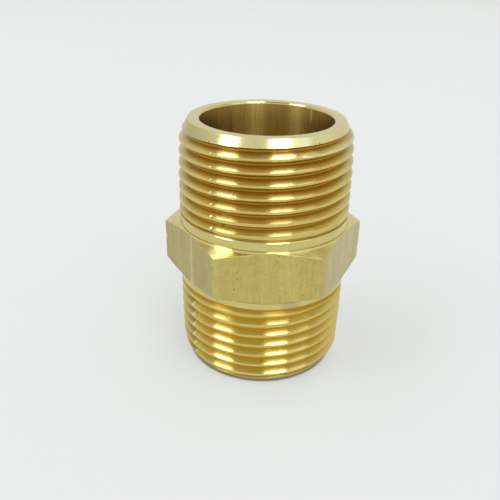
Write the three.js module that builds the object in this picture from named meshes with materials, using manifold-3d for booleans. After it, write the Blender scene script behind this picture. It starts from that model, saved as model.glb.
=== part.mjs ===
// Brass hex nipple, R 1 (1 inch BSPT) taper thread on both ends, turned from hexagonal bar.
// Units are millimetres, +Z runs along the bore, and the origin is the centre of the lower end face.
// One hexagon flat faces -Y. The object is a single machined piece.
import * as THREE from 'three';
import { mergeVertices } from 'three/addons/utils/BufferGeometryUtils.js';
import Module from 'manifold-3d';

// Overall size
const LENGTH = 49.3; // end face to end face
const BORE_RADIUS = 12.5; // straight through bore
const BORE_CHAMFER = 0.4; // break edge at both mouths of the bore

// Thread, ISO 7-1 R 1
const PITCH = 25.4 / 11; // 11 threads per inch
const THREAD_DEPTH = 0.640327 * PITCH; // Whitworth form, crest to root
const CREST_RADIUS_AT_END = 16.3; // crest radius at the end face, before the end chamfer
const CREST_LIMIT = 16.6; // radius of the blank, where the crests stop growing
const TAPER = 1 / 32; // growth of radius per millimetre of length
const FLAT_WIDTH = 0.17 * PITCH; // flat that stands for the rounded root
const HALF_FLANK_ANGLE = THREE.MathUtils.degToRad(27.5);
const END_FACE_RADIUS = 14.7; // outer radius of the annular end face
const END_CHAMFER_ANGLE = THREE.MathUtils.degToRad(30); // measured from the axis

// Ends, all measured from that end's own face: where one groove centre crosses the +X
// side, where the collar begins, and the shallow turned neck between thread and collar.
const LOWER_END = { grooveDistance: 2.027, collarDistance: 17.75, neckWidth: 0.6, neckDepth: 0.5 };
const UPPER_END = { grooveDistance: 1.356, collarDistance: 18.1, neckWidth: 0.3, neckDepth: 0.3 };
const RUN_OUT_LENGTH = 1.8; // over which the threading tool leaves the metal
const RUN_OUT_PAST_COLLAR = 0.15; // where its tip is clear, past the start of the collar
const COLLAR_RADIUS = 16.7; // plain turned band beside the hexagon
const COLLAR_EDGE = 0.2; // break edge of the collar towards the neck

// Hexagon
const ACROSS_FLATS = 34;
const CORNER_RADIUS = ACROSS_FLATS / 2 / Math.cos(Math.PI / 6);
const CORNER_BLUNT = 0.12; // half width of the rubbed strip on each hexagon corner
const HEX_MIDDLE = 24.375; // height of the middle of the hexagon
const CORNER_HALF_HEIGHT = 3.905; // half the height of each corner edge
const HEX_CHAMFER_ANGLE = THREE.MathUtils.degToRad(21.3); // measured from the end plane
const SHOULDER_RADIUS = 17.1; // where the corner chamfer turns into the steeper bevel
const SHOULDER_TOP_RADIUS = 16.85; // where that bevel ends
const HEX_HALF_HEIGHT = 5.275; // half height over the bevels

// Facets
const COLUMNS = 32; // facets around every turned surface and per thread turn
const CHAMFER_FACETS = 64; // facets around the hexagon chamfer cones
const CUTTER_CLEARANCE = 0.22; // how far the groove tool stands proud of the crests

const BRASS = new THREE.MeshStandardMaterial({ color: 0xc9b068, roughness: 0.3, metalness: 1 });

const wasm = await Module();
wasm.setup();

// Turns a closed three.js geometry into a solid that can be joined and cut.
function toSolid(geometry) {
  const bare = geometry.clone();
  bare.deleteAttribute('normal');
  bare.deleteAttribute('uv');
  const merged = mergeVertices(bare, 1e-5);
  return new wasm.Manifold(new wasm.Mesh({
    numProp: 3,
    vertProperties: Float32Array.from(merged.attributes.position.array),
    triVerts: Uint32Array.from(merged.index.array),
  }));
}

// Turns a finished solid back into a three.js geometry.
function toGeometry(solid) {
  const mesh = solid.getMesh();
  const geometry = new THREE.BufferGeometry();
  geometry.setAttribute('position', new THREE.BufferAttribute(mesh.vertProperties, 3));
  geometry.setIndex(new THREE.BufferAttribute(mesh.triVerts, 1));
  geometry.computeVertexNormals();
  return geometry;
}

// Revolves a list of [radius, height] points about the Z axis.
function revolve(profile, facets) {
  const points = profile.map(([radius, height]) => new THREE.Vector2(radius, height));
  const geometry = new THREE.LatheGeometry(points, facets);
  geometry.rotateX(Math.PI / 2);
  return toSolid(geometry);
}

// Radius of the untruncated thread crest at a distance from the end face.
function sharpCrestRadius(distance) {
  return CREST_RADIUS_AT_END + TAPER * distance;
}

// The path of the threading tool's tip for one end: a right-hand helix that follows the
// taper and then climbs out of the metal beside the collar. Its frames stay radial and
// axial, so that the tool keeps its attitude all the way round.
class ThreadPath extends THREE.Curve {
  constructor(end) {
    super();
    this.start = end.grooveDistance - 2 * PITCH;
    this.liftEnd = end.collarDistance + RUN_OUT_PAST_COLLAR;
    this.turns = Math.ceil((this.liftEnd - this.start) / PITCH);
  }

  angleAt(t) {
    return 2 * Math.PI * this.turns * t;
  }

  getPoint(t, target = new THREE.Vector3()) {
    const angle = this.angleAt(t);
    const distance = this.start + PITCH * this.turns * t;
    const progress = 1 - (this.liftEnd - distance) / RUN_OUT_LENGTH;
    const lift = (THREAD_DEPTH + CUTTER_CLEARANCE) * THREE.MathUtils.clamp(progress, 0, 1);
    const radius = sharpCrestRadius(distance) - THREAD_DEPTH + lift;
    return target.set(radius * Math.cos(angle), radius * Math.sin(angle), distance);
  }

  getPointAt(t, target) {
    return this.getPoint(t, target);
  }

  computeFrenetFrames(segments) {
    const frames = { tangents: [], normals: [], binormals: [] };
    for (let i = 0; i <= segments; i += 1) {
      const angle = this.angleAt(i / segments);
      frames.tangents.push(new THREE.Vector3(-Math.sin(angle), Math.cos(angle), 0));
      frames.normals.push(new THREE.Vector3(Math.cos(angle), Math.sin(angle), 0));
      frames.binormals.push(new THREE.Vector3(0, 0, -1));
    }
    return frames;
  }
}

// The metal that the threading tool removes from one end, standing on its end face.
function threadGroove(end) {
  const reach = THREAD_DEPTH + CUTTER_CLEARANCE;
  const rootHalf = FLAT_WIDTH / 2;
  const mouthHalf = rootHalf + reach * Math.tan(HALF_FLANK_ANGLE);
  const section = new THREE.Shape([
    new THREE.Vector2(0, -rootHalf),
    new THREE.Vector2(reach, -mouthHalf),
    new THREE.Vector2(reach, mouthHalf),
    new THREE.Vector2(0, rootHalf),
  ]);
  const path = new ThreadPath(end);
  return new THREE.ExtrudeGeometry(section, {
    steps: path.turns * COLUMNS,
    extrudePath: path,
    bevelEnabled: false,
  });
}

// The turned outline of one end as [radius, distance from the end face] points.
function endOutline(end) {
  const chamferDrop = CREST_RADIUS_AT_END - END_FACE_RADIUS;
  const chamferLength = chamferDrop / (Math.tan(END_CHAMFER_ANGLE) - TAPER);
  const crestLimitDistance = (CREST_LIMIT - CREST_RADIUS_AT_END) / TAPER;
  const neckEnd = end.collarDistance - COLLAR_EDGE;
  const neckStart = neckEnd - end.neckWidth;
  const neckRadius = COLLAR_RADIUS - end.neckDepth;
  return [
    [END_FACE_RADIUS, 0],
    [sharpCrestRadius(chamferLength), chamferLength],
    [CREST_LIMIT, crestLimitDistance],
    [CREST_LIMIT, neckStart - COLLAR_EDGE],
    [neckRadius, neckStart],
    [neckRadius, neckEnd],
    [COLLAR_RADIUS, end.collarDistance],
  ];
}

// The round blank: both ends and the collars as one turned solid.
function turnedBlank() {
  const lower = endOutline(LOWER_END);
  const upper = endOutline(UPPER_END)
    .map(([radius, distance]) => [radius, LENGTH - distance])
    .reverse();
  return revolve([[0, 0], ...lower, ...upper, [0, LENGTH]], COLUMNS);
}

// Outline of the hexagon with its corners slightly rubbed.
function hexOutline() {
  const points = [];
  for (let side = 0; side < 6; side += 1) {
    for (const sign of [-1, 1]) {
      const point = new THREE.Vector2(CORNER_RADIUS, 0);
      point.x -= CORNER_BLUNT * Math.tan(Math.PI / 6);
      point.y += sign * CORNER_BLUNT;
      points.push(point.rotateAround(new THREE.Vector2(), (side * Math.PI) / 3));
    }
  }
  return new THREE.Shape(points);
}

// Height of the corner chamfer above the middle of the hexagon at a given radius.
function cornerChamferHeight(radius) {
  return CORNER_HALF_HEIGHT + (CORNER_RADIUS - radius) * Math.tan(HEX_CHAMFER_ANGLE);
}

// The hexagon with its turned corner chamfers and the narrow bevels beside the collars.
function hexagon() {
  const prism = new THREE.ExtrudeGeometry(hexOutline(), {
    depth: 2 * HEX_HALF_HEIGHT,
    bevelEnabled: false,
  });
  prism.translate(0, 0, HEX_MIDDLE - HEX_HALF_HEIGHT);
  const rim = CORNER_RADIUS + 0.5;
  const upperHalf = [
    [rim, cornerChamferHeight(rim)],
    [SHOULDER_RADIUS, cornerChamferHeight(SHOULDER_RADIUS)],
    [SHOULDER_TOP_RADIUS, HEX_HALF_HEIGHT],
    [0, HEX_HALF_HEIGHT],
  ];
  const lowerHalf = upperHalf.map(([radius, height]) => [radius, -height]).reverse();
  const profile = [...lowerHalf, ...upperHalf];
  const turned = revolve(profile.map(([r, h]) => [r, HEX_MIDDLE + h]), CHAMFER_FACETS);
  return toSolid(prism).intersect(turned);
}

// The through bore with a small chamfer at both mouths.
function bore() {
  const mouth = BORE_RADIUS + BORE_CHAMFER;
  const over = 1;
  return revolve([
    [0, -over],
    [mouth + over, -over],
    [BORE_RADIUS, BORE_CHAMFER],
    [BORE_RADIUS, LENGTH - BORE_CHAMFER],
    [mouth + over, LENGTH + over],
    [0, LENGTH + over],
  ], COLUMNS);
}

// The whole nipple as one solid.
function nippleBody() {
  const upperGroove = threadGroove(UPPER_END).rotateX(Math.PI).translate(0, 0, LENGTH);
  const solid = turnedBlank()
    .subtract(toSolid(threadGroove(LOWER_END)))
    .subtract(toSolid(upperGroove))
    .add(hexagon())
    .subtract(bore());
  const mesh = new THREE.Mesh(toGeometry(solid), BRASS);
  mesh.name = 'nipple_body';
  return mesh;
}

const nipple = new THREE.Group();
nipple.add(nippleBody());

export default nipple;
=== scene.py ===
import math

import bmesh
import bpy
import numpy as np
from mathutils import Matrix, Vector


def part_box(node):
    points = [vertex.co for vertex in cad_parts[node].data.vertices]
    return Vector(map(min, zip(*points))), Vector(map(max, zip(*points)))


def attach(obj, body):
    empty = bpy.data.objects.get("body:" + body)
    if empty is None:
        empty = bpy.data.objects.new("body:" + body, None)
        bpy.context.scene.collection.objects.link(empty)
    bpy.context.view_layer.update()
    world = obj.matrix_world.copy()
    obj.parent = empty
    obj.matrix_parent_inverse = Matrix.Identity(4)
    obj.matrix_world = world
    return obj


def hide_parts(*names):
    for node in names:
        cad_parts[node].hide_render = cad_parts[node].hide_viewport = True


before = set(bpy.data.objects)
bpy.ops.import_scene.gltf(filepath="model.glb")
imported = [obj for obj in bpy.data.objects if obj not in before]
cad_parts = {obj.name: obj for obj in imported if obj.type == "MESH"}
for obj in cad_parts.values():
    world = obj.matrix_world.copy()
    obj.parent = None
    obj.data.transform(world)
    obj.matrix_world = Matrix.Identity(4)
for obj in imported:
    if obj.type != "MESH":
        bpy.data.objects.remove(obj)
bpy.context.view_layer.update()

# Looks of a brass hex nipple. Lengths are in millimetres until the mesh is made, and the frame is the
# CAD part's: +Z along the bore, origin at the centre of the lower end face, one hexagon flat facing -Y.
MM = 0.001
BODY_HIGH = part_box("nipple_body")[1]

# Body
LENGTH = BODY_HIGH.z / MM
BORE_RADIUS = 12.5
BORE_CHAMFER = 0.4  # radius of the rounded mouth
END_FACE_RADIUS = 14.7
END_FACE_RIM = 0.03  # narrow ring of facets that keeps the face's edge crisp
END_CHAMFER_SLOPE = math.tan(math.radians(30))
COLLAR_RADIUS = 16.7
COLLAR_BEVEL_DEPTH = 0.14  # broken edge of the collar towards the neck
COLLAR_BEVEL_LENGTH = 0.2
COLLAR_STEP_LENGTH = 0.03  # the wall between the neck's floor and that edge
COLLAR_SEAM = 0.3  # distance past the collar's edge where the end's rows meet the hexagon's

# R 1 thread, Whitworth form
PITCH = 25.4 / 11
THREAD_DEPTH = 0.640327 * PITCH
ROUNDING = 0.137329 * PITCH
HALF_FLANK = math.radians(27.5)
CREST_RADIUS_AT_END = 16.3
CREST_LIMIT = 16.6
TAPER = 1 / 32
RUN_OUT_LENGTH = 1.8
RUN_OUT_PAST_COLLAR = 0.15
RUN_OUT_CLEARANCE = 0.1

# One entry for each end: which way the groove climbs seen from that end, the distance from the end
# face to a groove centre at azimuth 0 and to the collar, and the neck beside the collar.
LOWER = {"hand": 1, "groove": 2.027, "collar": 17.75,
         "neck_width": 0.4, "neck_depth": 0.5, "neck_slope": 0.8, "dents": [(211.6, 1.2, 0.14)]}
UPPER = {"hand": -1, "groove": 1.356, "collar": 18.1,
         "neck_width": 0.3, "neck_depth": 0.3, "neck_slope": 0.25,
         "dents": [(231.8, 1.2, 0.2), (66.0, 1.5, 0.12)]}

# Hexagon
INRADIUS = BODY_HIGH.y / MM
CORNER_RADIUS = INRADIUS / math.cos(math.radians(30))
CORNER_LIMIT = 19.58  # the corners are blunted to this radius
HEX_MIDDLE = 24.375
CORNER_HALF_HEIGHT = 3.905  # of the sharp corners, before they are blunted
HEX_CHAMFER_SLOPE = math.tan(math.radians(21.3))
SHOULDER_RADIUS = 17.1
SHOULDER_TOP_RADIUS = 16.85
HEX_HALF_HEIGHT = 5.275
HEX_EDGE = 0.05  # broken edge between a flat and the chamfers
HEX_EDGE_LIFT = 0.01
SEAM_DEPTH = 0.06  # fine turned line between the hexagon and each collar
SEAM_HEIGHTS = (0.03, 0.10, 0.15)  # above the hexagon's bevel: floor from, floor to, edge of the collar

# Knocks and tears. A nick is (corner azimuth, height, half length, depth); a dent in the crests or in
# the edge of a flat is (azimuth, half width, depth). Angles are in degrees.
CORNER_NICKS = [
    (240, 26.3, 1.0, 0.20), (240, 22.1, 0.35, 0.10), (300, 27.2, 0.5, 0.10), (300, 23.0, 0.3, 0.07),
    (180, 25.1, 0.6, 0.12), (0, 22.6, 0.5, 0.14), (60, 26.0, 0.4, 0.10), (120, 23.8, 0.7, 0.12),
]
EDGE_NICKS = [(244, 1.5, 0.12), (255, 2.0, 0.10), (263, 1.5, 0.14), (284, 2.5, 0.10), (292, 1.5, 0.12),
              (203, 2.0, 0.12), (31, 2.0, 0.10), (96, 2.5, 0.12), (149, 1.5, 0.10)]
# The row of tears along the upper neck, in degrees of azimuth and then in millimetres
TEAR_START = 219.0
TEAR_STOP = 234.0
TEAR_SPACING = 2.0
TEAR_DEPTH = 0.25
TEAR_HALF_LENGTH = 0.42

# Facets
COLUMNS = 180
FLAT_ROWS = 36
NECK_ROWS = 22
BORE_ROWS = 16
MOUTH_STEPS = 4
ARC_ANGLES = (-62.5, -42, -21, 0, 21, 42, 62.5)  # degrees around a rounded crest or root
BISECTIONS = 20  # halvings when a crossing of thread and end chamfer is looked for
MERGE_DISTANCE = 3e-6  # metres: points of neighbouring grids closer than this become one
SHORTEST_EDGE = 1e-6  # metres
SHARP_ANGLE = math.radians(28)

THREAD, TURNED, DRAWN, BORED, END_CHAMFER, NECK = range(6)


def column_angles():
    """Angles of the mesh columns over one full turn, with both ends of the turn in the list."""
    angles = set(np.linspace(0, 360, COLUMNS + 1).round(6))
    blunt = 30 - math.degrees(math.acos(INRADIUS / CORNER_LIMIT))
    for corner in range(0, 361, 60):
        for offset in (-5 * blunt, -3 * blunt, -blunt, blunt, 3 * blunt, 5 * blunt):
            if 0 <= corner + offset <= 360:
                angles.add(round(corner + offset, 6))
    angles |= set(np.arange(TEAR_START, TEAR_STOP, TEAR_SPACING / 4).round(6))
    for azimuth, width, _ in LOWER["dents"] + UPPER["dents"]:
        angles |= {azimuth - width / 2, azimuth, azimuth + width / 2}
    return np.radians(sorted(angles))


THETA = column_angles()
ONES = np.ones_like(THETA)


def tooth_height(offset):
    """Height of the Whitworth form above its root at an axial offset from the groove's centre."""
    arc = ROUNDING * math.cos(HALF_FLANK)
    drop = ROUNDING * (1 - math.sin(HALF_FLANK))
    root = ROUNDING - np.sqrt(np.maximum(ROUNDING**2 - offset**2, 0))
    flank = drop + (offset - arc) / math.tan(HALF_FLANK)
    from_crest = np.maximum(PITCH / 2 - offset, 0)
    crest = THREAD_DEPTH - ROUNDING + np.sqrt(np.maximum(ROUNDING**2 - from_crest**2, 0))
    return np.where(offset < arc, root, np.where(offset < PITCH / 2 - arc, flank, crest))


def neck_limits(end):
    """Distances from the end face where the neck's floor starts and stops."""
    stop = end["collar"] - COLLAR_BEVEL_LENGTH
    return stop - end["neck_width"], stop


def blank_radius(distance, end):
    """Radius of the turned blank at a distance from the end face: crest line, neck and collar."""
    start, stop = neck_limits(end)
    crest = np.minimum(CREST_RADIUS_AT_END + TAPER * distance, CREST_LIMIT)
    neck = COLLAR_RADIUS - end["neck_depth"]
    into_neck = np.clip((distance - start) / end["neck_slope"] + 1, 0, 1)
    step = np.clip((distance - stop) / COLLAR_STEP_LENGTH, 0, 1) * (end["neck_depth"] - COLLAR_BEVEL_DEPTH)
    bevel = np.clip((distance - stop) / COLLAR_BEVEL_LENGTH, 0, 1) * COLLAR_BEVEL_DEPTH
    return crest + (neck - crest) * into_neck + step + bevel


def dent(offset, half_width):
    """1 at the middle of a dent, falling smoothly to 0 at half_width."""
    return np.cos(np.clip(np.abs(offset) / half_width, 0, 1) * math.pi) / 2 + 0.5


def crest_wear(theta, distance, end):
    """How much metal knocks have taken off the crests of one end."""
    azimuth = np.degrees(theta)
    worn = sum(depth * dent(azimuth - where, width) for where, width, depth in end["dents"])
    return worn * (distance < neck_limits(end)[0])


def tears(theta, distance, end):
    """Depth of the row of small tears that the threading tool left along the upper neck."""
    azimuth = np.degrees(theta)
    inside = (azimuth > TEAR_START) & (azimuth < TEAR_STOP) & (end is UPPER)
    row = 0.5 - 0.5 * np.cos((azimuth - TEAR_START) / TEAR_SPACING * 2 * math.pi)
    return TEAR_DEPTH * inside * row * dent(distance - neck_limits(end)[0], TEAR_HALF_LENGTH)


def threaded_radius(theta, distance, end):
    """Radius of the threaded blank, before the end chamfer."""
    radius = blank_radius(distance, end) - crest_wear(theta, distance, end)
    radius = radius - tears(theta, distance, end)
    phase = end["groove"] + end["hand"] * PITCH * theta / (2 * math.pi)
    nearest = np.round((distance - phase) / PITCH)
    for step in (-1, 0, 1):
        centre = phase + (nearest + step) * PITCH
        offset = np.abs(distance - centre)
        progress = 1 - (end["collar"] + RUN_OUT_PAST_COLLAR - centre) / RUN_OUT_LENGTH
        lift = (THREAD_DEPTH + RUN_OUT_CLEARANCE) * np.maximum(progress, 0)
        root = CREST_RADIUS_AT_END + TAPER * distance - THREAD_DEPTH
        radius = np.minimum(radius, root + lift + tooth_height(offset))
    return radius


def chamfer_radius(distance):
    """Radius of the end chamfer's cone at a distance from the end face."""
    return END_FACE_RADIUS + END_CHAMFER_SLOPE * distance


def row_offsets():
    """Axial offsets of the mesh rows over one pitch, from one groove centre to the next."""
    root = [ROUNDING * math.sin(math.radians(a)) for a in ARC_ANGLES]
    crest = [PITCH / 2 + a for a in root]
    gap = crest[0] - root[-1]
    rise = [root[-1] + gap * k / 3 for k in (1, 2)]
    fall = [crest[-1] + gap * k / 3 for k in (1, 2)]
    return sorted(a % PITCH for a in root + rise + crest + fall)


def snap_to_chamfer(distance, end):
    """Moves the mesh rows nearest to each crossing of thread and end chamfer onto that crossing."""
    gap = chamfer_radius(distance) - threaded_radius(THETA, distance, end)
    flags = np.zeros(distance.shape, bool)
    snapped = distance.copy()
    for j in range(distance.shape[1]):
        for i in np.nonzero(gap[:-1, j] * gap[1:, j] < 0)[0]:
            low, high = distance[i, j], distance[i + 1, j]
            side = gap[i, j] > 0
            for _ in range(BISECTIONS):
                middle = (low + high) / 2
                here = chamfer_radius(middle) - threaded_radius(THETA[j], middle, end)
                low, high = (middle, high) if (here > 0) == side else (low, middle)
            nearest = i if middle - distance[i, j] < distance[i + 1, j] - middle else i + 1
            if 0 < distance[nearest, j] < end["strip_end"]:
                snapped[nearest, j] = middle
                flags[nearest, j] = True
    return snapped, flags


class Skin:
    """Collects grids of points around the body and turns them into one closed mesh."""

    def __init__(self):
        self.points = []
        self.faces = []
        self.kinds = []
        self.count = 0

    def grid(self, radius, height, kinds, creases=None):
        """Adds a grid. radius and height are rows by columns, kinds one material for each row gap."""
        rows, columns = radius.shape
        xyz = np.stack([radius * np.cos(THETA), radius * np.sin(THETA), height], -1)
        self.points.append(xyz.reshape(-1, 3))
        corner = np.arange(rows * columns).reshape(rows, columns) + self.count
        for i in range(rows - 1):
            for j in range(columns - 1):
                a, b = corner[i, j], corner[i, j + 1]
                c, d = corner[i + 1, j + 1], corner[i + 1, j]
                kind = kinds[i][j] if np.ndim(kinds[i]) else kinds[i]
                other_way = creases is not None and creases[i, j + 1] and creases[i + 1, j]
                this_way = creases is not None and creases[i, j] and creases[i + 1, j + 1]
                if this_way and not other_way:
                    self.faces += [(a, b, c), (a, c, d)]
                    self.kinds += [kind, kind]
                elif other_way:
                    self.faces += [(a, b, d), (b, c, d)]
                    self.kinds += [kind, kind]
                else:
                    self.faces.append((a, b, c, d))
                    self.kinds.append(kind)
        self.count += rows * columns

    def rings(self, profile, kinds):
        """Adds rings from a list of (radius, height), each a number or one value per column."""
        radius = np.array([r * ONES for r, z in profile])
        height = np.array([z * ONES for r, z in profile])
        self.grid(radius, height, kinds if isinstance(kinds, list) else [kinds] * (len(profile) - 1))


def to_height(distance, end):
    """Height above the lower end face of a distance measured from one end's own face."""
    return distance if end["hand"] > 0 else LENGTH - distance


def add_thread(skin, end):
    """The outside of one end: the helical part, the neck and the start of the collar."""
    neck_start, neck_stop = neck_limits(end)
    end["strip_end"] = neck_start - end["neck_slope"]
    offsets = row_offsets()
    turns = range(-2, math.ceil(end["strip_end"] / PITCH) + 1)
    start = np.array([turn * PITCH + a + end["groove"] for turn in turns for a in offsets])
    climb = end["hand"] * PITCH * THETA / (2 * math.pi)
    distance = np.clip(start[:, None] + climb[None, :], 0, end["strip_end"])
    distance, creases = snap_to_chamfer(distance, end)
    thread = threaded_radius(THETA, distance, end)
    chamfer = chamfer_radius(distance)
    radius = np.minimum(thread, chamfer)
    on_chamfer = chamfer < thread
    rising = on_chamfer[:-1, :-1] & on_chamfer[1:, 1:]
    falling = on_chamfer[1:, :-1] & on_chamfer[:-1, 1:]
    kinds = list(np.where(rising | falling, END_CHAMFER, THREAD))
    skin.grid(radius, to_height(distance, end), kinds, creases)
    step_stop = neck_stop + COLLAR_STEP_LENGTH
    neck = np.linspace(end["strip_end"], end["collar"] + COLLAR_SEAM, NECK_ROWS)
    neck = np.sort(np.append(neck, [neck_start, neck_stop, step_stop, end["collar"]]))
    profile = [(threaded_radius(THETA, d * ONES, end), to_height(d, end)) for d in neck]
    kinds = [NECK if d < step_stop else TURNED for d in (neck[1:] + neck[:-1]) / 2]
    skin.rings(profile, kinds)


def hexagon_radius(height):
    """Distance from the axis to the flats for each column, with the corners limited and knocked."""
    azimuth = np.degrees(THETA)
    limit = CORNER_LIMIT * ONES
    for corner, middle, half, depth in CORNER_NICKS:
        near = np.abs((azimuth - corner + 180) % 360 - 180) < 10
        limit = limit - near * depth * dent(height - middle, half)
    from_flat = azimuth % 60 - 30
    return np.minimum(INRADIUS / np.cos(np.radians(from_flat)), limit)


def hex_height(radius):
    """Half height of the hexagon's turned outline at a radius."""
    chamfer = CORNER_HALF_HEIGHT + (CORNER_RADIUS - radius) * HEX_CHAMFER_SLOPE
    shoulder = CORNER_HALF_HEIGHT + (CORNER_RADIUS - SHOULDER_RADIUS) * HEX_CHAMFER_SLOPE
    along = (SHOULDER_RADIUS - radius) / (SHOULDER_RADIUS - SHOULDER_TOP_RADIUS)
    bevel = shoulder + along * (HEX_HALF_HEIGHT - shoulder)
    return np.where(radius > SHOULDER_RADIUS, chamfer, bevel)


def hex_half(sign):
    """Rows of half of the hexagon from its middle towards one collar, as (radius, height)."""
    rows = []
    flat = hexagon_radius(HEX_MIDDLE)
    top = hex_height(flat) - HEX_EDGE
    if sign < 0:
        top = top - sum(depth * dent(np.degrees(THETA) - where, width) for where, width, depth in EDGE_NICKS)
    for k in range(FLAT_ROWS // 2 + 1):
        height = HEX_MIDDLE + sign * top * k / (FLAT_ROWS // 2)
        rows.append((hexagon_radius(height), height))
    inner = flat - HEX_EDGE
    rows.append((inner, HEX_MIDDLE + sign * (hex_height(inner) + HEX_EDGE_LIFT)))
    for share in (0.5, 1):
        ring = inner + (np.minimum(SHOULDER_RADIUS, inner) - inner) * share
        rows.append((ring, HEX_MIDDLE + sign * (hex_height(ring) + HEX_EDGE_LIFT * (1 - share))))
    radii = (SHOULDER_TOP_RADIUS, COLLAR_RADIUS - SEAM_DEPTH, COLLAR_RADIUS - SEAM_DEPTH, COLLAR_RADIUS)
    for radius, extra in zip(radii, (0,) + SEAM_HEIGHTS):
        rows.append((radius * ONES, HEX_MIDDLE + sign * (HEX_HALF_HEIGHT + extra) * ONES))
    return rows


def add_hexagon(skin):
    """The hexagon with its chamfers, and the part of each collar beside it."""
    lower = hex_half(-1)[::-1]
    upper = hex_half(1)
    start = (COLLAR_RADIUS, LOWER["collar"] + COLLAR_SEAM)
    stop = (COLLAR_RADIUS, LENGTH - UPPER["collar"] - COLLAR_SEAM)
    profile = [start] + lower + upper[1:] + [stop]
    drawn = FLAT_ROWS // 2
    half = len(lower)
    turned = [TURNED] * (half - drawn - 1)
    kinds = turned + [DRAWN] * (2 * drawn + 2) + turned
    skin.rings(profile, kinds)


def add_end_face(skin, end):
    """The annular end face with its edge breaks, from the chamfer's edge in to the bore."""
    mouth = BORE_RADIUS + BORE_CHAMFER
    rows = [(END_FACE_RADIUS, 0), (END_FACE_RADIUS - END_FACE_RIM, 0), ((END_FACE_RADIUS + mouth) / 2, 0)]
    for k in range(MOUTH_STEPS + 1):
        turn = math.pi / 2 * k / MOUTH_STEPS
        rows.append((mouth - BORE_CHAMFER * math.sin(turn), BORE_CHAMFER * (1 - math.cos(turn))))
    skin.rings([(r, to_height(d, end)) for r, d in rows], TURNED)


def add_bore(skin):
    """The straight bore between its two rounded mouths."""
    heights = np.linspace(BORE_CHAMFER, LENGTH - BORE_CHAMFER, BORE_ROWS)
    skin.rings([(BORE_RADIUS, z) for z in heights], BORED)


def build_body():
    """The whole nipple as one mesh object."""
    skin = Skin()
    for end in (LOWER, UPPER):
        add_thread(skin, end)
        add_end_face(skin, end)
    add_hexagon(skin)
    add_bore(skin)
    points = np.concatenate(skin.points) * MM
    mesh = bpy.data.meshes.new("brass_body")
    mesh.from_pydata([tuple(p) for p in points], [], [tuple(int(i) for i in f) for f in skin.faces])
    mesh.polygons.foreach_set("material_index", np.array(skin.kinds, dtype=np.int32))
    work = bmesh.new()
    work.from_mesh(mesh)
    bmesh.ops.remove_doubles(work, verts=work.verts, dist=MERGE_DISTANCE)
    bmesh.ops.dissolve_degenerate(work, edges=work.edges, dist=SHORTEST_EDGE)
    bmesh.ops.recalc_face_normals(work, faces=work.faces)
    for face in work.faces:
        face.smooth = True
    work.to_mesh(mesh)
    work.free()
    mesh.set_sharp_from_angle(angle=SHARP_ANGLE)
    piece = bpy.data.objects.new("brass_body", mesh)
    bpy.context.scene.collection.objects.link(piece)
    return piece


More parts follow.
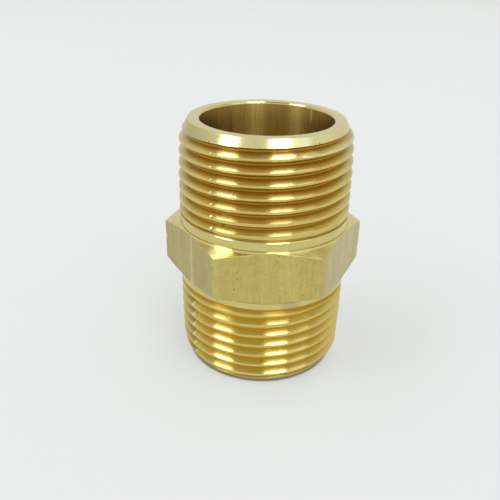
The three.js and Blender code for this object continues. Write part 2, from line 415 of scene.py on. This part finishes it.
class Nodes:
    """Short calls for building one node material."""

    def __init__(self, name):
        self.material = bpy.data.materials.new(name)
        self.material.use_nodes = True
        self.tree = self.material.node_tree
        self.tree.nodes.clear()
        self.output = self.add("ShaderNodeOutputMaterial")
        self.shader = self.add("ShaderNodeBsdfPrincipled")
        self.link(self.shader.outputs[0], self.output.inputs["Surface"])
        self.position = self.add("ShaderNodeTexCoord").outputs["Object"]

    def add(self, kind, **settings):
        node = self.tree.nodes.new(kind)
        for key, value in settings.items():
            setattr(node, key, value)
        return node

    def link(self, source, target):
        self.tree.links.new(source, target)

    def feed(self, value, target):
        if isinstance(value, (int, float, tuple)):
            target.default_value = value
        else:
            self.link(value, target)

    def math(self, operation, a, b=0.0, clamp=False):
        node = self.add("ShaderNodeMath", operation=operation, use_clamp=clamp)
        self.feed(a, node.inputs[0])
        self.feed(b, node.inputs[1])
        return node.outputs[0]

    def scaled(self, vector, scale):
        node = self.add("ShaderNodeVectorMath", operation="MULTIPLY")
        self.link(vector, node.inputs[0])
        node.inputs[1].default_value = scale
        return node.outputs[0]

    def noise(self, vector, scale, detail=2.0, roughness=0.5):
        node = self.add("ShaderNodeTexNoise")
        self.link(vector, node.inputs["Vector"])
        node.inputs["Scale"].default_value = scale
        node.inputs["Detail"].default_value = detail
        node.inputs["Roughness"].default_value = roughness
        return node.outputs[0]

    def spread(self, value, low, high, to_low=0.0, to_high=1.0):
        node = self.add("ShaderNodeMapRange")
        self.link(value, node.inputs["Value"])
        for key, number in (("From Min", low), ("From Max", high), ("To Min", to_low), ("To Max", to_high)):
            node.inputs[key].default_value = number
        return node.outputs[0]

    def mix(self, share, first, second):
        node = self.add("ShaderNodeMix", data_type="RGBA")
        self.feed(share, node.inputs["Factor"])
        self.feed(first, node.inputs[6])
        self.feed(second, node.inputs[7])
        return node.outputs[2]

    def parts(self, vector):
        """The three components of a vector."""
        split = self.add("ShaderNodeSeparateXYZ")
        self.link(vector, split.inputs[0])
        return split.outputs

    def lathe_coordinates(self):
        """Radius and height in millimetres, so that a texture of them runs around the axis."""
        x, y, z = self.parts(self.position)
        squares = self.math("ADD", self.math("MULTIPLY", x, x), self.math("MULTIPLY", y, y))
        radius = self.math("SQRT", squares)
        join = self.add("ShaderNodeCombineXYZ")
        self.link(self.math("DIVIDE", radius, MM), join.inputs[0])
        self.link(self.math("DIVIDE", z, MM), join.inputs[2])
        return join.outputs[0]

    def groove_depth(self):
        """Depth below the thread's crest line at either end, and the height, both in millimetres."""
        radius, _, height = self.parts(self.lathe_coordinates())
        distance = self.math("MINIMUM", height, self.math("SUBTRACT", LENGTH, height))
        crest = self.math("ADD", self.math("MULTIPLY", distance, TAPER), CREST_RADIUS_AT_END)
        return self.math("SUBTRACT", self.math("MINIMUM", crest, CREST_LIMIT), radius), height

    def near(self, place, radius, axes=(1, 1, 1)):
        """1 at a place, falling to 0 at a radius from it, after the position is scaled by axes."""
        node = self.add("ShaderNodeVectorMath", operation="DISTANCE")
        self.link(self.scaled(self.position, axes), node.inputs[0])
        node.inputs[1].default_value = tuple(p * a for p, a in zip(place, axes))
        return self.spread(node.outputs["Value"], radius * 0.6, radius, 1.0, 0.0)

    def bump(self, height, distance, strength=1.0):
        node = self.add("ShaderNodeBump")
        node.inputs["Strength"].default_value = strength
        node.inputs["Distance"].default_value = distance
        self.link(height, node.inputs["Height"])
        self.link(node.outputs[0], self.shader.inputs["Normal"])

    def brush_around_axis(self, anisotropy):
        """Stretches the highlights as marks around the part's axis do."""
        self.shader.inputs["Anisotropic"].default_value = anisotropy
        self.shader.inputs["Anisotropic Rotation"].default_value = 0.25
        tangent = self.add("ShaderNodeTangent", direction_type="RADIAL", axis="Z")
        self.link(tangent.outputs[0], self.shader.inputs["Tangent"])


# Tones of the metal
BRIGHT = (0.70, 0.595, 0.225)
GOLDEN = (0.73, 0.58, 0.175)
FRESH = (0.86, 0.79, 0.38)  # the last cuts, at the ends
# Tone of the bore: partly the drilled brass's own brown, partly painted shade of the recess
BORE_BROWN_AND_SHADE = (0.50, 0.335, 0.085)
# Painted shade below the crest line: darker tones deeper in the grooves, where depths from and to in
# millimetres bound the change; the lower thread's lighter shade gives way to the upper thread's between the
# two heights, in millimetres too
GROOVE_SHADE_HEIGHTS = (18.0, 30.0)
THREAD_GROOVE_SHADE = {"from": 0.45, "to": 1.35, "upper": (0.43, 0.235, 0.028), "lower": (0.67, 0.47, 0.055)}
# The neck's darker tone: partly painted shade of its narrow recess, partly the brown of the metal there
NECK_SHADE_AND_BROWN = {"from": 0.0, "to": 0.22, "upper": (0.44, 0.28, 0.035), "lower": (0.48, 0.28, 0.03)}
# Light and dark tone of the drawn flats, with painted reflection in them: the front one, nearest in y, is
# painted yellower, the left one darker and the right one paler
FRONT_FLAT_PAINTED_LIGHT = ((0.64, 0.53, 0.16), (0.48, 0.375, 0.097))
LEFT_FLAT_PAINTED_SHADE = ((0.515, 0.43, 0.15), (0.39, 0.30, 0.093))
RIGHT_FLAT_PAINTED_LIGHT = ((0.62, 0.525, 0.235), (0.47, 0.37, 0.145))
PAINTED_FRONT_FLAT_Y = (-0.01695, -0.0166)  # metres, where its tones give way to the left and right ones'
PAINTED_LEFT_TO_RIGHT_X = (-0.005, 0.005)
PIT_TONE = (0.30, 0.20, 0.06)

# Marks, and one painted highlight, in the tone only, with places and radii in metres
SCUFF_TONE = (0.46, 0.41, 0.24)
SCUFF_AT = (0.0044, -0.0161, 0.0181)  # a rubbed patch on the lower collar
SCUFF_RADIUS = 0.0022
STREAK_TONE = (0.68, 0.60, 0.26)
STREAK_AT = (-0.01406, -0.00965, 0.0)  # a pale line along the left flat, over its whole height
STREAK_AXES = (1, 1, 0)
STREAK_RADIUS = 0.0005
BORE_HIGHLIGHT_AT = (0.00937, 0.00827, 0.0475)  # a pale upright streak in the bore, a painted highlight
BORE_HIGHLIGHT_AXES = (1, 1, 0.2)
BORE_HIGHLIGHT_RADIUS = 0.0004
SPECK_TONE = (0.16, 0.09, 0.02)
SPECK_RADIUS = 0.00034
SPECKS = [(229.3, 38.1), (234.7, 36.0), (238.3, 33.4), (267.3, 6.7)]  # azimuth and height on a thread

# Painted shade on the sides of the end chamfers, which start and stop at these x, in metres
CHAMFER_PAINTED_SHADE = (0.42, 0.345, 0.135)
CHAMFER_SHADE_LEFT = (-0.014, -0.005)
CHAMFER_SHADE_RIGHT = (0.006, 0.015)
# Painted shade on the sides of the threads, where x and y are shares of the radius
THREAD_PAINTED_SHADE = (0.27, 0.215, 0.085)
THREAD_SHADE_FROM = -0.862  # the lower thread is painted darker where x is below this
THREAD_SHADE_FRONT = (-0.38, -0.08)  # and fades out as y rises between these
THREAD_HIGHLIGHT_EDGE = 0.012  # half width of the painted highlight along its edge
THREAD_SHADE_SIDES = (0.82, 0.95)  # the upper thread is painted darker as the size of x rises between these
UPPER_FROM = (17.4, 17.8)  # heights in millimetres that part the lower thread from the upper

# Depths of the marks of the tools, in metres
LATHE_MARKS = 0.000003
BORE_MARKS = 0.000001
DRAWING_MARKS = 0.00003


def shade(tone, factor=1.0):
    """A tone made lighter or darker, with the fourth channel that colour inputs take."""
    return tuple(channel * factor for channel in tone) + (1.0,)


def tear_places():
    """Azimuth and height of the middle of each tear along the upper neck."""
    z = LENGTH - neck_limits(UPPER)[0] - 0.05
    return [(azimuth, z) for azimuth in np.arange(TEAR_START + TEAR_SPACING / 2, TEAR_STOP, TEAR_SPACING)]


def thread_point(azimuth, z):
    """The point of a thread's surface at an azimuth and height, in metres."""
    end = UPPER if z > HEX_MIDDLE else LOWER
    distance = LENGTH - z if end is UPPER else z
    theta = math.radians(azimuth)
    radius = float(threaded_radius(theta, np.array(distance), end)) * MM
    return (radius * math.cos(theta), radius * math.sin(theta), z * MM)


def paint_thread_shade_and_highlight(n, colour):
    """Paints shade on both sides of the upper thread, and on one side of the lower behind a narrow painted
    highlight.
    """
    x, y, _ = n.parts(n.scaled(n.position, (1 / MM, 1 / MM, 1 / MM)))
    radius = n.parts(n.lathe_coordinates())[0]
    depth, height = n.groove_depth()
    side = n.math("DIVIDE", x, radius)
    front = n.spread(n.math("DIVIDE", y, radius), *THREAD_SHADE_FRONT, 1.0, 0.0)
    high = n.spread(height, *UPPER_FROM)
    low = n.math("MULTIPLY", n.math("SUBTRACT", 1.0, high), front)
    shade_low = n.math("MULTIPLY", n.spread(side, THREAD_SHADE_FROM - THREAD_HIGHLIGHT_EDGE, THREAD_SHADE_FROM, 0.68, 0.0), low)
    shade_high = n.math("MULTIPLY", n.spread(n.math("ABSOLUTE", side), *THREAD_SHADE_SIDES, 0.0, 0.5), high)
    thread_shade = n.math("MULTIPLY", n.math("ADD", shade_low, shade_high), n.spread(depth, 0.05, 0.5, 0.25, 1.0))
    # Painted shade: a darker tone on these sides
    colour = n.mix(thread_shade, colour, shade(THREAD_PAINTED_SHADE))
    # Painted highlight: a narrow bright edge beside the lower thread's painted shade
    from_edge = n.math("ABSOLUTE", n.math("SUBTRACT", side, THREAD_SHADE_FROM + THREAD_HIGHLIGHT_EDGE))
    edge = n.math("MULTIPLY", n.spread(from_edge, 0.0, THREAD_HIGHLIGHT_EDGE, 0.75, 0.0), low)
    edge = n.math("MULTIPLY", edge, n.spread(depth, 0.25, 1.1, 1.0, 0.0))
    return n.mix(edge, colour, shade(FRESH, 1.15))


def paint_chamfer_shade(n, colour):
    """Paints shade on the left side of the end chamfers, and a little on the right side."""
    x = n.parts(n.position)[0]
    left = n.spread(x, *CHAMFER_SHADE_LEFT, 0.8, 0.0)
    right = n.spread(x, *CHAMFER_SHADE_RIGHT, 0.0, 0.4)
    # Painted shade: a darker tone towards both sides
    return n.mix(n.math("ADD", left, right), colour, shade(CHAMFER_PAINTED_SHADE))


def turned_brass(name, tone, roughness, anisotropy, groove=None, painted_light=None, scuffed=False, specks=()):
    """Brass cut on the lathe: fine marks around the axis and slow changes of tone, with painted shade and
    highlight where given.
    """
    n = Nodes(name)
    lathe = n.lathe_coordinates()
    millimetres = n.scaled(n.position, (1 / MM, 1 / MM, 1 / MM))
    lines = n.noise(lathe, 9.0, 3.0, 0.7)
    broad = n.noise(lathe, 2.5, 1.0)
    slow = n.noise(millimetres, 0.12, 2.0)
    fleck = n.noise(millimetres, 2.2, 3.0, 0.6)
    share = n.math("ADD", n.spread(slow, 0.3, 0.7, 0.0, 0.5), n.spread(fleck, 0.55, 0.75, 0.0, 0.3))
    share = n.math("ADD", share, n.spread(broad, 0.4, 0.7, 0.0, 0.35), clamp=True)
    colour = n.mix(share, shade(tone), shade(tone, 0.84))
    warm = (tone[0], tone[1] * 0.84, tone[2] * 0.8)
    colour = n.mix(n.spread(slow, 0.5, 0.7, 0.0, 0.45), colour, shade(warm))
    rough = n.math("ADD", n.spread(lines, 0.3, 0.7, roughness - 0.03, roughness + 0.03),
                   n.spread(fleck, 0.5, 0.8, 0.0, 0.03))
    if scuffed:
        patch = n.math("MULTIPLY", n.near(SCUFF_AT, SCUFF_RADIUS), n.spread(broad, 0.35, 0.65, 0.3, 0.6))
        colour = n.mix(patch, colour, shade(SCUFF_TONE))
        rough = n.math("ADD", rough, n.math("MULTIPLY", patch, 0.2))
    if groove:
        # Painted shade: the tone darkens deeper below the crest line
        depth, height = n.groove_depth()
        dark = n.mix(n.spread(height, *GROOVE_SHADE_HEIGHTS), shade(groove["lower"]), shade(groove["upper"]))
        colour = n.mix(n.spread(depth, groove["from"], groove["to"]), colour, dark)
    # Painted shade and highlight, where a function for them is given
    if painted_light:
        colour = painted_light(n, colour)
    for azimuth, z in specks:
        colour = n.mix(n.near(thread_point(azimuth, z), SPECK_RADIUS), colour, shade(SPECK_TONE))
    n.link(colour, n.shader.inputs["Base Color"])
    n.link(rough, n.shader.inputs["Roughness"])
    n.shader.inputs["Metallic"].default_value = 1.0
    n.brush_around_axis(anisotropy)
    n.bump(lines, LATHE_MARKS)
    return n.material


def flat_tone_with_painted_light(n, share):
    """Tone of the flats between light and dark, with painted reflection that differs for the front, left and
    right ones.
    """
    x, y, _ = n.parts(n.position)
    rightward = n.spread(x, *PAINTED_LEFT_TO_RIGHT_X)
    aside = n.spread(y, *PAINTED_FRONT_FLAT_Y)
    light, dark = [n.mix(rightward, shade(left), shade(right)) for left, right in zip(LEFT_FLAT_PAINTED_SHADE, RIGHT_FLAT_PAINTED_LIGHT)]
    front = n.mix(share, shade(FRONT_FLAT_PAINTED_LIGHT[0]), shade(FRONT_FLAT_PAINTED_LIGHT[1]))
    return n.mix(aside, front, n.mix(share, light, dark))


def drawn_brass(name):
    """Brass of the drawn bar: satin, with fine streaks along the axis, mottling, specks and small pits."""
    n = Nodes(name)
    streaks = n.noise(n.scaled(n.position, (3500, 3500, 160)), 1.0, 4.0, 0.65)
    bands = n.noise(n.scaled(n.position, (520, 520, 30)), 1.0, 3.0, 0.6)
    mottle = n.noise(n.scaled(n.position, (1500, 1500, 900)), 1.0, 3.0, 0.65)
    specks = n.noise(n.scaled(n.position, (1900, 1900, 1500)), 1.0, 1.0, 0.5)
    share = n.math("ADD", n.spread(bands, 0.35, 0.65, 0.0, 0.5), n.spread(streaks, 0.35, 0.7, 0.0, 0.3))
    share = n.math("ADD", share, n.spread(mottle, 0.35, 0.7, -0.1, 0.45), clamp=True)
    # Painted reflection and shade: each flat's tone depends on which way it faces
    base = flat_tone_with_painted_light(n, share)
    streak = n.math("MULTIPLY", n.near(STREAK_AT, STREAK_RADIUS, STREAK_AXES), 0.5)
    base = n.mix(streak, base, shade(STREAK_TONE))
    pits = n.spread(specks, 0.69, 0.77, 0.0, 0.7)
    n.link(n.mix(pits, base, shade(PIT_TONE)), n.shader.inputs["Base Color"])
    n.link(n.spread(streaks, 0.3, 0.7, 0.34, 0.46), n.shader.inputs["Roughness"])
    n.shader.inputs["Metallic"].default_value = 1.0
    n.shader.inputs["Coat Weight"].default_value = 0.5
    n.shader.inputs["Coat Roughness"].default_value = 0.5
    height = n.math("SUBTRACT", streaks, n.math("MULTIPLY", pits, 0.6))
    n.bump(height, DRAWING_MARKS, 0.6)
    return n.material


def bored_brass(name):
    """Brass of the bore: drawn out by the drill, with streaks and bands along the axis, in a brown that is
    partly painted shade, and a painted highlight streak.
    """
    n = Nodes(name)
    streaks = n.noise(n.scaled(n.position, (1300, 1300, 12)), 1.0, 4.0, 0.7)
    bands = n.noise(n.scaled(n.position, (160, 160, 8)), 1.0, 2.0)
    lines = n.noise(n.lathe_coordinates(), 6.0, 3.0, 0.7)
    share = n.math("ADD", n.spread(streaks, 0.3, 0.7, 0.0, 0.2), n.spread(bands, 0.3, 0.7, 0.0, 0.35))
    share = n.math("ADD", share, n.spread(lines, 0.35, 0.65, 0.0, 0.45), clamp=True)
    # Partly painted shade: the bore's brown is darker than the outside's tones
    base = n.mix(share, shade(BORE_BROWN_AND_SHADE, 1.15), shade(BORE_BROWN_AND_SHADE, 0.78))
    # Painted highlight: a pale upright streak in the bore
    bore_highlight = n.math("MULTIPLY", n.near(BORE_HIGHLIGHT_AT, BORE_HIGHLIGHT_RADIUS, BORE_HIGHLIGHT_AXES), 0.6)
    n.link(n.mix(bore_highlight, base, shade(FRESH)), n.shader.inputs["Base Color"])
    n.link(n.spread(streaks, 0.3, 0.7, 0.25, 0.31), n.shader.inputs["Roughness"])
    n.shader.inputs["Metallic"].default_value = 1.0
    n.brush_around_axis(1.0)
    n.bump(lines, BORE_MARKS)
    return n.material


def give_materials(piece):
    """Adds one material for each kind of face, in the order of the kinds' numbers."""
    materials = [
        turned_brass("brass_thread", GOLDEN, 0.24, 1.0, THREAD_GROOVE_SHADE, painted_light=paint_thread_shade_and_highlight, specks=SPECKS),
        turned_brass("brass_turned", BRIGHT, 0.17, 0.9, scuffed=True),
        drawn_brass("brass_drawn"),
        bored_brass("brass_bored"),
        turned_brass("brass_end_chamfer", FRESH, 0.26, 0.9, painted_light=paint_chamfer_shade),
        turned_brass("brass_neck", GOLDEN, 0.30, 1.0, NECK_SHADE_AND_BROWN, specks=tear_places()),
    ]
    for material in materials:
        piece.data.materials.append(material)


FLOOR_HALF_WIDTH = 6.0  # metres
FLOOR_TONES = ((0.222, 0.212, 0.179, 1.0), (0.232, 0.222, 0.188, 1.0))
FLOOR_GLOW = 0.452  # keeps the shadows on the floor faint
FLOOR_GLOW_COLOUR = (0.97, 0.995, 0.965, 1.0)
CONTACT_RADIUS = 14.2  # middle of the ring where the lower end face stands, which doesn't glow
CONTACT_SPREAD = (0.6, 1.2)  # the glow comes back between these distances from the ring's middle


def add_floor():
    """The pale floor that the part stands on."""
    mesh = bpy.data.meshes.new("floor")
    half = FLOOR_HALF_WIDTH
    corners = [(-half, -half, 0), (half, -half, 0), (half, half, 0), (-half, half, 0)]
    mesh.from_pydata(corners, [], [(0, 1, 2, 3)])
    floor = bpy.data.objects.new("floor", mesh)
    bpy.context.scene.collection.objects.link(floor)
    n = Nodes("pale_floor")
    cloud = n.noise(n.position, 6.0, 3.0)
    n.link(n.mix(cloud, *FLOOR_TONES), n.shader.inputs["Base Color"])
    radius = n.parts(n.lathe_coordinates())[0]
    beside = n.math("ABSOLUTE", n.math("SUBTRACT", radius, CONTACT_RADIUS))
    n.link(n.spread(beside, *CONTACT_SPREAD, 0.0, FLOOR_GLOW), n.shader.inputs["Emission Strength"])
    n.shader.inputs["Emission Color"].default_value = FLOOR_GLOW_COLOUR
    n.shader.inputs["Roughness"].default_value = 0.8
    n.shader.inputs["Specular IOR Level"].default_value = 0.2
    mesh.materials.append(n.material)


LIGHT_HEIGHT = 3.0  # metres above the floor
WALLS = (0.84, 0.86, 0.87, 1.0)  # pale surroundings up to the height of the panels
CEILING = (0.42, 0.41, 0.40, 1.0)
WALLS_TO_CEILING = (0.66, 0.88)  # sines of the elevations where one turns into the other
PANEL_RADIANCE = 6.9
PANEL_COLOUR = (0.97, 1.07, 1.35, 1.0)
FILL_RADIANCE = 1.3
# Corners of the overhead panels at a height of 1, which add_panel scales up to LIGHT_HEIGHT
LEFT_PANEL = [(-0.41, 0.43), (-0.79, 0.04), (-1.43, -0.45), (-0.98, -0.79),
              (-0.73, -0.57), (-0.49, -0.19), (-0.27, 0.34)]
RIGHT_PANEL = [(0.06, 0.36), (0.05, -1.05), (0.63, -0.96), (0.41, -0.42), (0.30, -0.05), (0.24, 0.36)]
FILL_PANEL = [(0.30, 0.40), (0.36, -0.05), (0.70, -1.00), (1.35, -0.75), (0.62, 0.10), (0.52, 0.50)]


def add_panel(name, corners, radiance):
    """A flat glowing panel overhead, facing down."""
    points = [(x * LIGHT_HEIGHT, y * LIGHT_HEIGHT, LIGHT_HEIGHT) for x, y in corners]
    mesh = bpy.data.meshes.new(name)
    mesh.from_pydata(points, [], [tuple(range(len(points)))])
    panel = bpy.data.objects.new(name, mesh)
    bpy.context.scene.collection.objects.link(panel)
    n = Nodes(name)
    n.shader.inputs["Base Color"].default_value = (0, 0, 0, 1)
    n.shader.inputs["Emission Color"].default_value = PANEL_COLOUR
    n.shader.inputs["Emission Strength"].default_value = radiance
    mesh.materials.append(n.material)


def add_light():
    """Two bright panels and a fainter one overhead, in pale surroundings."""
    add_panel("panel_left", LEFT_PANEL, PANEL_RADIANCE)
    add_panel("panel_right", RIGHT_PANEL, PANEL_RADIANCE)
    add_panel("panel_fill", FILL_PANEL, FILL_RADIANCE)
    world = bpy.data.worlds.new("studio")
    bpy.context.scene.world = world
    world.use_nodes = True
    nodes, links = world.node_tree.nodes, world.node_tree.links
    split = nodes.new("ShaderNodeSeparateXYZ")
    links.new(nodes.new("ShaderNodeTexCoord").outputs["Generated"], split.inputs[0])
    climb = nodes.new("ShaderNodeMapRange")
    links.new(split.outputs[2], climb.inputs["Value"])
    climb.inputs["From Min"].default_value, climb.inputs["From Max"].default_value = WALLS_TO_CEILING
    tone = nodes.new("ShaderNodeMix")
    tone.data_type = "RGBA"
    links.new(climb.outputs[0], tone.inputs["Factor"])
    tone.inputs[6].default_value = WALLS
    tone.inputs[7].default_value = CEILING
    links.new(tone.outputs[2], nodes["Background"].inputs["Color"])


# Camera: where it stands in millimetres, the direction it looks in, and its roll in radians
CAMERA_AT = Vector((-7.735, -107.888, 75.769))
CAMERA_LOOKS = Vector((0.0426, 0.8933, -0.4474)).normalized()
CAMERA_ROLL = 0.023
CAMERA_LENS = 42.255  # millimetres, on a sensor 36 wide
CAMERA_SENSOR = 36.0
CAMERA_CLIP_START = 0.005  # metres


def add_camera():
    """The camera at its place, aimed and rolled."""
    right = CAMERA_LOOKS.cross(Vector((0, 0, 1))).normalized()
    up = right.cross(CAMERA_LOOKS)
    turned_right = math.cos(CAMERA_ROLL) * right + math.sin(CAMERA_ROLL) * up
    turned_up = math.cos(CAMERA_ROLL) * up - math.sin(CAMERA_ROLL) * right
    data = bpy.data.cameras.new("camera")
    data.lens = CAMERA_LENS
    data.sensor_width = CAMERA_SENSOR
    data.clip_start = CAMERA_CLIP_START
    camera = bpy.data.objects.new("camera", data)
    axes = Matrix((turned_right, turned_up, -CAMERA_LOOKS)).transposed()
    camera.matrix_world = Matrix.Translation(CAMERA_AT * MM) @ axes.to_4x4()
    bpy.context.scene.collection.objects.link(camera)
    bpy.context.scene.camera = camera


body = build_body()
give_materials(body)
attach(body, "root")
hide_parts("nipple_body")
add_floor()
add_light()
add_camera()
bpy.context.scene.view_settings.view_transform = "Standard"
